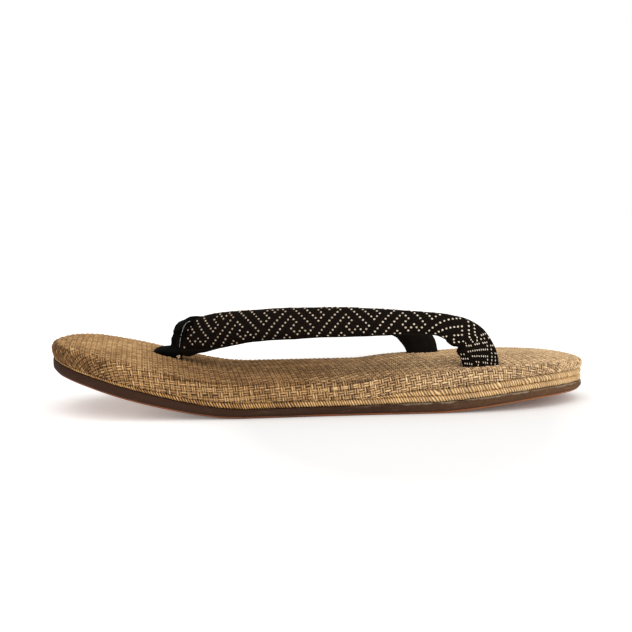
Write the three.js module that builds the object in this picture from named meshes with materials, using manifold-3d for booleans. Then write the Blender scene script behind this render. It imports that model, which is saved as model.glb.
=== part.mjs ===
// A zori sandal for the left foot: a padded, cloth-wrapped footbed on a foam sole, two rounds of
// twisted straw rope along the edge, and two padded straps that meet at a front thong.
// Millimetres, +Z up. The toe points to -X, the outer side of the foot is -Y, and the sole
// stands on z = 0 with the origin under the middle of its length.

import * as THREE from "three";
import { mergeVertices } from "three/addons/utils/BufferGeometryUtils.js";
import Module from "manifold-3d";

const wasm = await Module();
wasm.setup();

// Plan of the sole.
const LENGTH = 260;
const BALL_WIDTH = 94;
const WAIST_WIDTH = 89;
const HEEL_WIDTH = 88;
const TOE_ROUND = 51; // length of the rounded toe end
const TOE_POWER = 2.17; // 2 is an ellipse, more is squarer
const HEEL_ROUND = 69;
const HEEL_POWER = 2.02;
const TOE_SPINE = -83; // the ends of the middle line that every ring shrinks towards
const HEEL_SPINE = 84;
const RIM_POINTS = 88; // points round each ring, an even number

// Layers.
const GAP = 0.3; // clearance between neighbouring pieces
const OUTSOLE = 1.3;
const ROPE_DEPTH = 3.4; // how far a rope reaches in from the edge
const FOLD = 3.4; // how far in the footbed's top fold runs

// Heights at stations along the sole, each given for the edge of the sole.
// rise: underside above the floor; rubber: outsole and midsole; lower, upper: the two ropes;
// side: the padded edge of the footbed; crown: its further rise to the middle line.
const STATIONS = [
  { x: -130, rise: 20.4, rubber: 6.4, lower: 0.9, upper: 0, side: 6.0, crown: 0.8 },
  { x: -121, rise: 18.6, rubber: 5.8, lower: 0.9, upper: 0, side: 8.0, crown: 1.2 },
  { x: -110, rise: 15.8, rubber: 5.6, lower: 0.9, upper: 0, side: 8.9, crown: 1.7 },
  { x: -90, rise: 10.0, rubber: 5.6, lower: 1.3, upper: 0, side: 9.2, crown: 2.2 },
  { x: -76, rise: 6.3, rubber: 5.5, lower: 1.6, upper: 0, side: 8.9, crown: 2.3 },
  { x: -64, rise: 3.5, rubber: 5.2, lower: 1.9, upper: 0, side: 8.6, crown: 2.3 },
  { x: -53, rise: 1.5, rubber: 4.9, lower: 2.2, upper: 0, side: 8.3, crown: 2.3 },
  { x: -44, rise: 0.4, rubber: 4.7, lower: 2.4, upper: 0, side: 8.1, crown: 2.3 },
  { x: -35, rise: 0, rubber: 4.5, lower: 2.5, upper: 0, side: 8.2, crown: 2.3 },
  { x: 18, rise: 0, rubber: 4.7, lower: 2.5, upper: 0, side: 8.3, crown: 2.3 },
  { x: 40, rise: 0, rubber: 5.2, lower: 2.5, upper: 2.2, side: 7.4, crown: 2.2 },
  { x: 54, rise: 0, rubber: 5.4, lower: 2.5, upper: 3.0, side: 7.0, crown: 2.1 },
  { x: 64, rise: 0.6, rubber: 5.4, lower: 2.5, upper: 3.1, side: 6.7, crown: 2.0 },
  { x: 78, rise: 2.0, rubber: 5.2, lower: 2.5, upper: 3.2, side: 6.4, crown: 1.8 },
  { x: 90, rise: 3.3, rubber: 5.0, lower: 2.5, upper: 3.2, side: 5.7, crown: 1.4 },
  { x: 106, rise: 4.7, rubber: 4.7, lower: 2.5, upper: 3.2, side: 4.9, crown: 1.2 },
  { x: 120, rise: 5.3, rubber: 4.4, lower: 2.5, upper: 3.1, side: 4.5, crown: 0.8 },
  { x: 130, rise: 5.4, rubber: 4.2, lower: 2.5, upper: 3.0, side: 4.0, crown: 0.4 },
];
const UPPER_ROPE_START = 20; // the upper rope tapers out on both sides here

// The straps. Each row is one section, from the front joint to the end inside the footbed, given
// by the two edges of the padded roll. across: distance from the middle line of the sandal.
const OUTER_STRAP = [
  { topX: -65.6, topAcross: -1, topZ: 39.2, lowX: -67.6, lowAcross: -1, lowZ: 30.0, thick: 6.5 },
  { topX: -61.8, topAcross: 1.5, topZ: 42.6, lowX: -64.6, lowAcross: 2, lowZ: 27.2, thick: 9 },
  { topX: -54.5, topAcross: 5, topZ: 45.0, lowX: -57.5, lowAcross: 8, lowZ: 26.8, thick: 9.5 },
  { topX: -46, topAcross: 9, topZ: 46.6, lowX: -47, lowAcross: 13, lowZ: 29.4, thick: 9.5 },
  { topX: -31, topAcross: 14, topZ: 47.6, lowX: -32, lowAcross: 20, lowZ: 32.8, thick: 9.5 },
  { topX: -12, topAcross: 19.5, topZ: 48.7, lowX: -12, lowAcross: 26, lowZ: 34.5, thick: 9.2 },
  { topX: 8, topAcross: 24, topZ: 49.0, lowX: 8, lowAcross: 30, lowZ: 35.2, thick: 9 },
  { topX: 27, topAcross: 27.5, topZ: 48.0, lowX: 27, lowAcross: 33, lowZ: 35.8, thick: 8.8 },
  { topX: 44, topAcross: 29.5, topZ: 46.8, lowX: 43, lowAcross: 34.4, lowZ: 36.2, thick: 8.6 },
  { topX: 57, topAcross: 30.2, topZ: 45.4, lowX: 53, lowAcross: 34.8, lowZ: 36.0, thick: 8.6 },
  { topX: 67.6, topAcross: 30, topZ: 43.4, lowX: 58.5, lowAcross: 34.2, lowZ: 34.0, thick: 8.6 },
  { topX: 76.4, topAcross: 29.4, topZ: 39.0, lowX: 62.5, lowAcross: 33.4, lowZ: 31.0, thick: 8.4 },
  { topX: 81.6, topAcross: 29, topZ: 32.4, lowX: 65.2, lowAcross: 32.6, lowZ: 26.8, thick: 8 },
  { topX: 84.4, topAcross: 29, topZ: 25.6, lowX: 67.0, lowAcross: 32, lowZ: 23.2, thick: 7.5 },
  { topX: 85, topAcross: 29, topZ: 19.2, lowX: 68, lowAcross: 31.6, lowZ: 18.8, thick: 7.2 },
  { topX: 84, topAcross: 29, topZ: 12.6, lowX: 69, lowAcross: 31, lowZ: 12.6, thick: 7 },
];
const INNER_STRAP = [
  { topX: -65.6, topAcross: -1, topZ: 39.0, lowX: -67.6, lowAcross: -1, lowZ: 29.6, thick: 6.5 },
  { topX: -61.8, topAcross: 1.5, topZ: 42.0, lowX: -64.6, lowAcross: 2, lowZ: 26.8, thick: 9 },
  { topX: -54.5, topAcross: 5, topZ: 43.6, lowX: -57.5, lowAcross: 8, lowZ: 26.2, thick: 9.5 },
  { topX: -46, topAcross: 9, topZ: 43.8, lowX: -47, lowAcross: 13.5, lowZ: 28.4, thick: 9.5 },
  { topX: -31, topAcross: 14.5, topZ: 43.5, lowX: -32, lowAcross: 21, lowZ: 30.4, thick: 9.5 },
  { topX: -14, topAcross: 20, topZ: 43.2, lowX: -14, lowAcross: 26.8, lowZ: 31.0, thick: 9.2 },
  { topX: 4, topAcross: 24.5, topZ: 42.8, lowX: 3, lowAcross: 31, lowZ: 31.2, thick: 9 },
  { topX: 20, topAcross: 27.4, topZ: 42.0, lowX: 18, lowAcross: 33.2, lowZ: 31.2, thick: 8.8 },
  { topX: 34, topAcross: 29, topZ: 41.0, lowX: 30.5, lowAcross: 34.4, lowZ: 31.0, thick: 8.6 },
  { topX: 45.5, topAcross: 29.6, topZ: 39.0, lowX: 37.5, lowAcross: 34.4, lowZ: 29.8, thick: 8.6 },
  { topX: 54.5, topAcross: 29.4, topZ: 35.0, lowX: 41.4, lowAcross: 33.6, lowZ: 27.4, thick: 8.4 },
  { topX: 59.6, topAcross: 29, topZ: 29.6, lowX: 44, lowAcross: 32.8, lowZ: 24.6, thick: 8 },
  { topX: 62, topAcross: 29, topZ: 24, lowX: 46, lowAcross: 32.2, lowZ: 21.6, thick: 7.5 },
  { topX: 62.6, topAcross: 29, topZ: 18, lowX: 47.4, lowAcross: 31.8, lowZ: 17.4, thick: 7.2 },
  { topX: 61.6, topAcross: 29, topZ: 12.2, lowX: 48.6, lowAcross: 31, lowZ: 12.2, thick: 7 },
];
const STRAP_POINTS = 14; // points round a strap section
const STRAP_STEPS = 26; // sections along a strap
const STRAP_POWER = 2.3;

// The front thong: a post out of the footbed, spread where it stands, and a hood over the joint.
const HOOD = 2.1; // wall of the hood
const POST = [
  { x: -65.5, z: 12.5, halfLong: 4.6, halfWide: 5.0 },
  { x: -65.9, z: 19, halfLong: 5.0, halfWide: 5.2 },
  { x: -66.4, z: 24, halfLong: 6.2, halfWide: 6.0 },
  { x: -66.4, z: 28, halfLong: 5.8, halfWide: 5.8 },
  { x: -66.2, z: 32, halfLong: 5.4, halfWide: 5.0 },
];
const FOOT = { x: -69.6, z: 23.6, halfLong: 11.2, halfWide: 7.6, halfHigh: 5.6, slope: 15 };
// The rear edge of the hood's sides, seen from the side, from the footbed up.
const HOOD_SIDES = [
  { x: -66.6, z: 20 },
  { x: -66.2, z: 31 },
  { x: -64.4, z: 37 },
  { x: -61.4, z: 41.6 },
  { x: -60.4, z: 50 },
];
// The hood's tongue, which runs back over the joint between the straps.
const TONGUE = { backX: -52.5, halfWide: 6.2, bottomZ: 34 };

// A column of a table at any place, smooth between the rows.
function column(table, name, at, key = "x") {
  const last = table.length - 1;
  let i = 0;
  while (i < last - 1 && at > table[i + 1][key]) {
    i += 1;
  }
  const slope = (j) => {
    if (j === 0 || j === last) {
      return 0;
    }
    const before = (table[j][name] - table[j - 1][name]) / (table[j][key] - table[j - 1][key]);
    const after = (table[j + 1][name] - table[j][name]) / (table[j + 1][key] - table[j][key]);
    return before * after > 0 ? (2 * before * after) / (before + after) : 0;
  };
  const a = table[i];
  const b = table[i + 1];
  const span = b[key] - a[key];
  const t = THREE.MathUtils.clamp((at - a[key]) / span, 0, 1);
  const h = t * t * (3 - 2 * t);
  const bend = slope(i) * t * (1 - t) * (1 - t) - slope(i + 1) * t * t * (1 - t);
  return a[name] * (1 - h) + b[name] * h + span * bend;
}

const HALF = LENGTH / 2;
const WIDTHS = [
  { x: -HALF, half: BALL_WIDTH / 2 },
  { x: -48, half: BALL_WIDTH / 2 },
  { x: 15, half: WAIST_WIDTH / 2 },
  { x: 70, half: HEEL_WIDTH / 2 },
  { x: HALF, half: HEEL_WIDTH / 2 },
];

function halfWidth(x) {
  const toe = Math.max(0, (TOE_ROUND - HALF - x) / TOE_ROUND);
  const heel = Math.max(0, (x - HALF + HEEL_ROUND) / HEEL_ROUND);
  const toeEnd = Math.max(0, 1 - toe ** TOE_POWER) ** (1 / TOE_POWER);
  const heelEnd = Math.max(0, 1 - heel ** HEEL_POWER) ** (1 / HEEL_POWER);
  return column(WIDTHS, "half", x) * toeEnd * heelEnd;
}

// The outline of the sole, evenly spaced, from the tip of the toe along the outer side to the heel
// and back along the inner side. Point k and point RIM_POINTS - k mirror each other.
function rimPoints() {
  const side = [];
  for (let i = 0; i <= 180; i += 1) {
    const x = -HALF * Math.cos((Math.PI * i) / 180);
    side.push(new THREE.Vector3(x, -halfWidth(x), 0));
  }
  const curve = new THREE.CatmullRomCurve3(side, false, "centripetal");
  curve.arcLengthDivisions = 1000;
  const outer = curve.getSpacedPoints(RIM_POINTS / 2);
  outer[0].y = 0;
  outer[outer.length - 1].y = 0;
  const inner = outer.slice(1, -1).reverse();
  return [...outer, ...inner.map((p) => new THREE.Vector3(p.x, -p.y, 0))];
}
const RIM = rimPoints();

// A rim point moved in by a distance, or shrunk by a share, towards the middle line.
function inward(p, inset, share = 1) {
  const x = THREE.MathUtils.clamp(p.x, TOE_SPINE, HEEL_SPINE);
  const reach = Math.hypot(p.x - x, p.y);
  const keep = ((reach - inset) / reach) * share;
  return { x: x + (p.x - x) * keep, y: p.y * keep };
}

const under = (x) => column(STATIONS, "rise", x);
const rubberTop = (x) => under(x) + column(STATIONS, "rubber", x);
const lowerRopeTop = (x) => rubberTop(x) + GAP + column(STATIONS, "lower", x);
const upperRopeHeight = (x) => (x < UPPER_ROPE_START ? 0 : column(STATIONS, "upper", x));
function ropesTop(x) {
  const height = upperRopeHeight(x);
  return lowerRopeTop(x) + height + GAP * Math.min(1, height);
}
const sideAt = (x, part) => ropesTop(x) + GAP + column(STATIONS, "side", x) * part;
const footbedTop = (x, share) => sideAt(x, 1) + column(STATIONS, "crown", x) * (1 - share ** 2);

function geometry(points, triangles) {
  const made = new THREE.BufferGeometry();
  made.setAttribute("position", new THREE.Float32BufferAttribute(points.flat(), 3));
  made.setIndex(triangles);
  return made;
}

// A closed body made of rings of the same count, the first and last closed by a cap.
function loft(rings, cap) {
  const count = rings[0].length;
  const triangles = [];
  for (let r = 0; r + 1 < rings.length; r += 1) {
    for (let k = 0; k < count; k += 1) {
      const a = r * count + k;
      const b = r * count + ((k + 1) % count);
      triangles.push(a, b, b + count, a, b + count, a + count);
    }
  }
  const end = (rings.length - 1) * count;
  for (const [a, b, c] of cap(count)) {
    triangles.push(a, c, b, end + a, end + b, end + c);
  }
  return geometry(rings.flat(), triangles);
}

// A cap of strips from each side of the sole to the other.
function mirrorCap(count) {
  const faces = [[0, 1, count - 1]];
  for (let k = 1; k < count / 2 - 1; k += 1) {
    faces.push([k, k + 1, count - k], [k + 1, count - k - 1, count - k]);
  }
  faces.push([count / 2 - 1, count / 2, count / 2 + 1]);
  return faces;
}

// A cap that fans out from its first point, for a section that bulges everywhere.
function fanCap(count) {
  return Array.from({ length: count - 2 }, (_, k) => [0, k + 1, k + 2]);
}

// Rings round the sole from the middle of the underside, out and up to the middle of the top.
function soleBody(profile) {
  const rings = profile.map(({ inset = 0, share = 1, z }) =>
    RIM.map((p) => {
      const q = inward(p, inset, share);
      return [q.x, q.y, z(q.x)];
    }),
  );
  return loft(rings, mirrorCap);
}

function outsoleGeometry() {
  return soleBody([
    { inset: 1.9, z: under },
    { inset: 1.3, z: (x) => under(x) + 0.35 },
    { inset: 1.1, z: (x) => under(x) + OUTSOLE },
  ]);
}

function midsoleGeometry() {
  return soleBody([
    { inset: 0.7, z: (x) => under(x) + OUTSOLE + GAP },
    { inset: 0.1, z: (x) => under(x) + OUTSOLE + GAP + 0.5 },
    { inset: 0, z: (x) => rubberTop(x) - 0.9 },
    { inset: 0.5, z: rubberTop },
  ]);
}

// A rope section: an oval between two heights, just inside the edge of the sole.
function ropeSection(p, low, high, points = 8) {
  return Array.from({ length: points }, (_, k) => {
    const turn = (2 * Math.PI * (k + 0.5)) / points;
    const q = inward(p, 0.4 + (ROPE_DEPTH / 2) * (1 + Math.cos(turn)));
    const middle = (low(q.x) + high(q.x)) / 2;
    const half = (high(q.x) - low(q.x)) / 2 / Math.cos(Math.PI / points);
    return [q.x, q.y, middle + half * Math.sin(turn)];
  });
}

function lowerRopeGeometry() {
  const sections = RIM.map((p) => ropeSection(p, (x) => rubberTop(x) + GAP, lowerRopeTop));
  const made = loft([...sections, sections[0]], () => []);
  return mergeVertices(made, 1e-4);
}

function upperRopeGeometry() {
  const start = RIM.filter((p) => p.x > UPPER_ROPE_START + 1);
  const low = (x) => lowerRopeTop(x) + GAP * Math.min(1, upperRopeHeight(x));
  const high = (x) => Math.max(low(x) + 0.3, lowerRopeTop(x) + GAP + upperRopeHeight(x));
  return loft(start.map((p) => ropeSection(p, low, high)), fanCap);
}

function footbedGeometry(grow = 0) {
  const domeShares = [0.86, 0.68, 0.46, 0.22];
  return soleBody([
    { inset: ROPE_DEPTH + 1.3, z: (x) => rubberTop(x) + GAP },
    { inset: ROPE_DEPTH + 0.9, z: (x) => ropesTop(x) + GAP },
    { inset: 1.0, z: (x) => ropesTop(x) + GAP },
    { inset: 0.2, z: (x) => sideAt(x, 0.1) },
    { inset: 0, z: (x) => sideAt(x, 0.46) },
    { inset: 0.4, z: (x) => sideAt(x, 0.7) + grow },
    { inset: 1.5, z: (x) => sideAt(x, 0.9) + grow },
    { inset: FOLD, z: (x) => sideAt(x, 1) + 0.1 + grow },
    ...domeShares.map((share) => ({ share, z: (x) => footbedTop(x, share) + grow })),
  ]);
}

// One section of a strap: a rounded flat roll between its two edges.
function strapSection(row, along, side, grow, shift) {
  const top = new THREE.Vector3(row.topX, side * row.topAcross, row.topZ);
  const low = new THREE.Vector3(row.lowX, side * row.lowAcross, row.lowZ);
  const middle = top.clone().add(low).multiplyScalar(0.5);
  const wide = top.clone().sub(low);
  const half = wide.length() / 2 + grow;
  wide.normalize();
  const out = new THREE.Vector3().crossVectors(along, wide).normalize();
  middle.addScaledVector(along, shift);
  return Array.from({ length: STRAP_POINTS }, (_, k) => {
    const turn = (2 * Math.PI * k) / STRAP_POINTS;
    const c = Math.sign(Math.cos(turn)) * Math.abs(Math.cos(turn)) ** (2 / STRAP_POWER);
    const s = Math.sign(Math.sin(turn)) * Math.abs(Math.sin(turn)) ** (2 / STRAP_POWER);
    const q = middle.clone();
    q.addScaledVector(wide, half * c);
    q.addScaledVector(out, (row.thick / 2 + grow) * s);
    return q.toArray();
  });
}

function strapGeometry(table, side, grow) {
  const names = ["topX", "topAcross", "topZ", "lowX", "lowAcross", "lowZ", "thick"];
  const rows = table.map((row, index) => ({ ...row, index }));
  const middleAt = (t) =>
    new THREE.Vector3(
      (column(rows, "topX", t, "index") + column(rows, "lowX", t, "index")) / 2,
      (side * (column(rows, "topAcross", t, "index") + column(rows, "lowAcross", t, "index"))) / 2,
      (column(rows, "topZ", t, "index") + column(rows, "lowZ", t, "index")) / 2,
    );
  const last = rows.length - 1;
  const sections = [];
  for (let i = 0; i <= STRAP_STEPS; i += 1) {
    const t = (last * i) / STRAP_STEPS;
    const row = Object.fromEntries(names.map((name) => [name, column(rows, name, t, "index")]));
    const ahead = middleAt(Math.min(last, t + 0.3));
    const along = ahead.sub(middleAt(Math.max(0, t - 0.3))).normalize();
    const shift = i === 0 ? -grow : i === STRAP_STEPS ? grow : 0;
    sections.push(strapSection(row, along, side, grow, shift));
  }
  return loft(sections, fanCap);
}

// The post of the front thong, a stack of level ovals.
function postGeometry(grow) {
  const rings = POST.map((row) =>
    Array.from({ length: 20 }, (_, k) => {
      const turn = (2 * Math.PI * k) / 20;
      return [
        row.x + (row.halfLong + grow) * Math.cos(turn),
        (row.halfWide + grow) * Math.sin(turn),
        row.z,
      ];
    }),
  );
  rings[0].forEach((point) => {
    point[2] -= grow;
  });
  return loft(rings, fanCap);
}

function footGeometry() {
  const made = new THREE.SphereGeometry(1, 26, 12);
  made.rotateX(Math.PI / 2);
  made.scale(FOOT.halfLong, FOOT.halfWide, FOOT.halfHigh);
  made.rotateY(THREE.MathUtils.degToRad(FOOT.slope));
  made.translate(FOOT.x, 0, FOOT.z);
  return made;
}

// Everything in front of the rear edge of the hood's sides.
function hoodFrontGeometry() {
  const front = new THREE.Shape();
  front.moveTo(-90, HOOD_SIDES[0].z);
  HOOD_SIDES.forEach(({ x, z }) => front.lineTo(x, z));
  front.lineTo(-90, HOOD_SIDES[HOOD_SIDES.length - 1].z);
  const made = new THREE.ExtrudeGeometry(front, { depth: 60, bevelEnabled: false });
  made.rotateX(Math.PI / 2);
  made.translate(0, 30, 0);
  return made;
}

// An upright slab with a round rear end, round the tongue.
function tongueGeometry() {
  const round = new THREE.Shape();
  round.moveTo(-75, TONGUE.halfWide);
  round.lineTo(-75, -TONGUE.halfWide);
  round.absarc(TONGUE.backX - TONGUE.halfWide, 0, TONGUE.halfWide, -Math.PI / 2, Math.PI / 2);
  const options = { depth: 20, bevelEnabled: false, curveSegments: 10 };
  const made = new THREE.ExtrudeGeometry(round, options);
  made.translate(0, 0, TONGUE.bottomZ);
  return made;
}

// Booleans.
function solid(made) {
  const bare = made.clone();
  bare.deleteAttribute("normal");
  bare.deleteAttribute("uv");
  const merged = mergeVertices(bare, 1e-4);
  const kept = [];
  const index = merged.index.array;
  for (let i = 0; i < index.length; i += 3) {
    const [a, b, c] = [index[i], index[i + 1], index[i + 2]];
    if (a !== b && b !== c && c !== a) {
      kept.push(a, b, c);
    }
  }
  const mesh = new wasm.Mesh({
    numProp: 3,
    vertProperties: new Float32Array(merged.attributes.position.array),
    triVerts: new Uint32Array(kept),
  });
  return new wasm.Manifold(mesh);
}

function fromSolid(made) {
  const mesh = made.getMesh();
  const back = new THREE.BufferGeometry();
  back.setAttribute("position", new THREE.BufferAttribute(mesh.vertProperties, 3));
  back.setIndex(new THREE.BufferAttribute(mesh.triVerts, 1));
  return back;
}

function strapPair(grow) {
  const outer = solid(strapGeometry(OUTER_STRAP, -1, grow));
  const inner = solid(strapGeometry(INNER_STRAP, 1, grow));
  return outer.add(inner);
}

const straps = strapPair(0);
const strapRoom = strapPair(GAP);

const hoodShape = solid(hoodFrontGeometry()).add(solid(tongueGeometry()));
const hood = strapPair(GAP + HOOD).intersect(hoodShape);
const thongBase = solid(footGeometry()).subtract(solid(footbedGeometry(GAP)));
const frontThong = hood.add(thongBase).add(solid(postGeometry(0))).subtract(strapRoom);

const footbed = solid(footbedGeometry()).subtract(strapRoom).subtract(solid(postGeometry(GAP)));

function piece(name, made, color, roughness) {
  const shaded = made.index ? made.toNonIndexed() : made;
  shaded.computeVertexNormals();
  const material = new THREE.MeshStandardMaterial({ color, roughness, metalness: 0 });
  const mesh = new THREE.Mesh(shaded, material);
  mesh.name = name;
  return mesh;
}

const sandal = new THREE.Group();
sandal.name = "zori_sandal";
sandal.add(
  piece("outsole", outsoleGeometry(), 0x8a4a2c, 0.8),
  piece("midsole", midsoleGeometry(), 0x3a2a20, 0.85),
  piece("lower_rope", lowerRopeGeometry(), 0xc9a24e, 0.6),
  piece("upper_rope", upperRopeGeometry(), 0xc9a24e, 0.6),
  piece("footbed", fromSolid(footbed), 0xb3925f, 0.9),
  piece("straps", fromSolid(straps), 0x23211f, 0.85),
  piece("front_thong", fromSolid(frontThong), 0x2b2b28, 0.8),
);

export default sandal;
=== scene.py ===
"""The looks of the zori sandal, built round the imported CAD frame.

Tables are in millimetres, in the CAD's frame: the toe points to -X, the outer side is -Y, +Z is up.
Everything is scaled to metres where a mesh is made.
"""

import math

import bpy
import numpy as np
from mathutils import Matrix, Vector, noise
from mathutils.bvhtree import BVHTree


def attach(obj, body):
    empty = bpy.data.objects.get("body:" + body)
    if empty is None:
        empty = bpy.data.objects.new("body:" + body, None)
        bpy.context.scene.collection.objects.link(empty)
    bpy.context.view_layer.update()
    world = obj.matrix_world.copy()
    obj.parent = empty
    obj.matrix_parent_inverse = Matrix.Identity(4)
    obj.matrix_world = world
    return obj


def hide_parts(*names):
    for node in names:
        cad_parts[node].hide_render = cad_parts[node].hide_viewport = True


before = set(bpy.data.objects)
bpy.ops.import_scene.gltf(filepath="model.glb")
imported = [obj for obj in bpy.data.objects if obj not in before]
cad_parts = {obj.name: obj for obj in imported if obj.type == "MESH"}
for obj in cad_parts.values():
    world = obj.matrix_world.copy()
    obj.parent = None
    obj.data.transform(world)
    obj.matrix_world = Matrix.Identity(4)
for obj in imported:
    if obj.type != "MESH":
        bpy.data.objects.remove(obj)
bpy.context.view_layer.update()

MM = 0.001

# ---------------------------------------------------------------- the camera, as the photo's
IMAGE_WIDTH = 632  # pixels
SENSOR_WIDTH = 36
# distances in millimetres, angles in degrees. A scratch program fitted these seven numbers to
# points of the sandal's outline that were read off the photo.
CAMERA = {
    "back": 611.8,
    "height": 97.56,
    "pitch": 5.114,
    "roll": 1.167,
    "focal_px": 1243.1,
    "aside": -0.704,
    "yaw": 0.706,
}


def add_object(name, data):
    made = bpy.data.objects.new(name, data)
    bpy.context.scene.collection.objects.link(made)
    return made


def add_camera():
    data = bpy.data.cameras.new("photo_camera")
    data.sensor_width = SENSOR_WIDTH
    data.lens = CAMERA["focal_px"] / IMAGE_WIDTH * SENSOR_WIDTH
    data.clip_start = 0.001
    data.clip_end = 50
    camera = add_object("photo_camera", data)
    place = Vector((CAMERA["aside"], -CAMERA["back"], CAMERA["height"])) * MM
    camera.matrix_world = (
        Matrix.Rotation(-math.radians(CAMERA["yaw"]), 4, "Z")
        @ Matrix.Translation(place)
        @ Matrix.Rotation(math.radians(90 - CAMERA["pitch"]), 4, "X")
        @ Matrix.Rotation(-math.radians(CAMERA["roll"]), 4, "Z")
    )
    bpy.context.scene.camera = camera


add_camera()

# ---------------------------------------------------------------- the tables of the CAD
LENGTH = 260
HALF = LENGTH / 2
TOE_ROUND, TOE_POWER = 51, 2.17
HEEL_ROUND, HEEL_POWER = 69, 2.02
TOE_SPINE, HEEL_SPINE = -83, 84
GAP = 0.3
OUTSOLE = 0.95  # the rubber's edge shows thinner than the CAD solid
ROPE_DEPTH = 3.4
FOLD = 3.4  # how far in from the rim the cover turns down
UPPER_ROPE_START = 20
HALF_WIDTHS = np.array([(-130, 47), (-48, 47), (15, 44.5), (70, 44), (130, 44)], float)

# x, then the rise of the underside, and the heights of the rubber, the lower rope, the upper rope
# and the footbed's side, and the footbed's crown
RISE, RUBBER, LOWER, UPPER, SIDE, CROWN = range(1, 7)
STATIONS = np.array(
    [
        (-130, 20.4, 6.4, 0.9, 0, 6.0, 0.8),
        (-121, 18.6, 5.8, 0.9, 0, 8.0, 1.2),
        (-110, 15.8, 5.6, 0.9, 0, 8.9, 1.7),
        (-90, 10.0, 5.6, 1.3, 0, 9.2, 2.2),
        (-76, 6.3, 5.5, 1.6, 0, 8.9, 2.3),
        (-64, 3.5, 5.2, 1.9, 0, 8.6, 2.3),
        (-53, 1.5, 4.9, 2.2, 0, 8.3, 2.3),
        (-44, 0.4, 4.7, 2.4, 0, 8.1, 2.3),
        (-35, 0, 4.5, 2.5, 0, 8.2, 2.3),
        (18, 0, 4.7, 2.5, 0, 8.3, 2.3),
        (40, 0, 5.2, 2.5, 2.2, 7.4, 2.2),
        (54, 0, 5.4, 2.5, 3.0, 7.0, 2.1),
        (64, 0.6, 5.4, 2.5, 3.1, 6.7, 2.0),
        (78, 2.0, 5.2, 2.5, 3.2, 6.4, 1.8),
        (90, 3.3, 5.0, 2.5, 3.2, 5.7, 1.4),
        (106, 4.7, 4.7, 2.5, 3.2, 4.9, 1.2),
        (120, 5.3, 4.4, 2.5, 3.1, 4.5, 0.8),
        (130, 5.4, 4.2, 2.5, 3.0, 4.0, 0.4),
    ]
)
# top edge x, across, z; low edge x, across, z; thickness
OUTER_STRAP = np.array(
    [
        (-65.6, -1, 39.2, -67.6, -1, 30.0, 6.5),
        (-61.8, 1.5, 42.6, -64.6, 2, 27.2, 9),
        (-54.5, 5, 45.0, -57.5, 8, 26.8, 9.5),
        (-46, 9, 46.6, -47, 13, 29.4, 9.5),
        (-31, 14, 47.6, -32, 20, 32.8, 9.5),
        (-12, 19.5, 48.7, -12, 26, 34.5, 9.2),
        (8, 24, 49.0, 8, 30, 35.2, 9),
        (27, 27.5, 48.0, 27, 33, 35.8, 8.8),
        (44, 29.5, 46.8, 43, 34.4, 36.2, 8.6),
        (57, 30.2, 45.4, 53, 34.8, 36.0, 8.6),
        (67.6, 30, 43.4, 58.5, 34.2, 34.0, 8.6),
        (76.4, 29.4, 39.0, 62.5, 33.4, 31.0, 8.4),
        (81.6, 29, 32.4, 65.2, 32.6, 26.8, 8),
        (84.4, 29, 25.6, 67.0, 32, 23.2, 7.5),
        (85, 29, 19.2, 68, 31.6, 18.8, 7.2),
        (84, 29, 12.6, 69, 31, 12.6, 7),
    ]
)
INNER_STRAP = np.array(
    [
        (-65.6, -1, 39.0, -67.6, -1, 29.6, 6.5),
        (-61.8, 1.5, 42.0, -64.6, 2, 26.8, 9),
        (-54.5, 5, 43.6, -57.5, 8, 26.2, 9.5),
        (-46, 9, 43.8, -47, 13.5, 28.4, 9.5),
        (-31, 14.5, 43.5, -32, 21, 30.4, 9.5),
        (-14, 20, 43.2, -14, 26.8, 31.0, 9.2),
        (4, 24.5, 42.8, 3, 31, 31.2, 9),
        (20, 27.4, 42.0, 18, 33.2, 31.2, 8.8),
        (34, 29, 41.0, 30.5, 34.4, 31.0, 8.6),
        (45.5, 29.6, 39.0, 37.5, 34.4, 29.8, 8.6),
        (54.5, 29.4, 35.0, 41.4, 33.6, 27.4, 8.4),
        (59.6, 29, 29.6, 44, 32.8, 24.6, 8),
        (62, 29, 24, 46, 32.2, 21.6, 7.5),
        (62.6, 29, 18, 47.4, 31.8, 17.4, 7.2),
        (61.6, 29, 12.2, 48.6, 31, 12.2, 7),
    ]
)
STRAP_POWER = 2.3  # of the section's superellipse
# the line of piping behind the hood over the joint, from the footbed up: z, x
PIPING_LINE = np.array(
    [
        (29.5, -67.9),
        (33, -67.4),
        (35.6, -66.8),
        (38.7, -65.8),
        (40.6, -64.8),
        (41.9, -63.4),
        (42.3, -62.1),
    ]
)
# the hood's tongue on top of the joint: its rear end's x, half its width, and its lowest z
TONGUE_BACK, TONGUE_HALF, TONGUE_BOTTOM = -52.5, 6.2, 34


def column(table, name, at):
    """A column of a table at any places, smooth between the rows and never past them."""
    xs, ys = table[:, 0], table[:, name]
    step = np.diff(ys) / np.diff(xs)
    before, after = step[:-1], step[1:]
    safe = np.where(before + after == 0, 1, before + after)
    slopes = np.zeros(len(xs))
    slopes[1:-1] = np.where(before * after > 0, 2 * before * after / safe, 0)
    at = np.asarray(at, float)
    i = np.clip(np.searchsorted(xs, at) - 1, 0, len(xs) - 2)
    span = xs[i + 1] - xs[i]
    t = np.clip((at - xs[i]) / span, 0, 1)
    h = t * t * (3 - 2 * t)
    bend = slopes[i] * t * (1 - t) ** 2 - slopes[i + 1] * t * t * (1 - t)
    return ys[i] * (1 - h) + ys[i + 1] * h + span * bend


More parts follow.
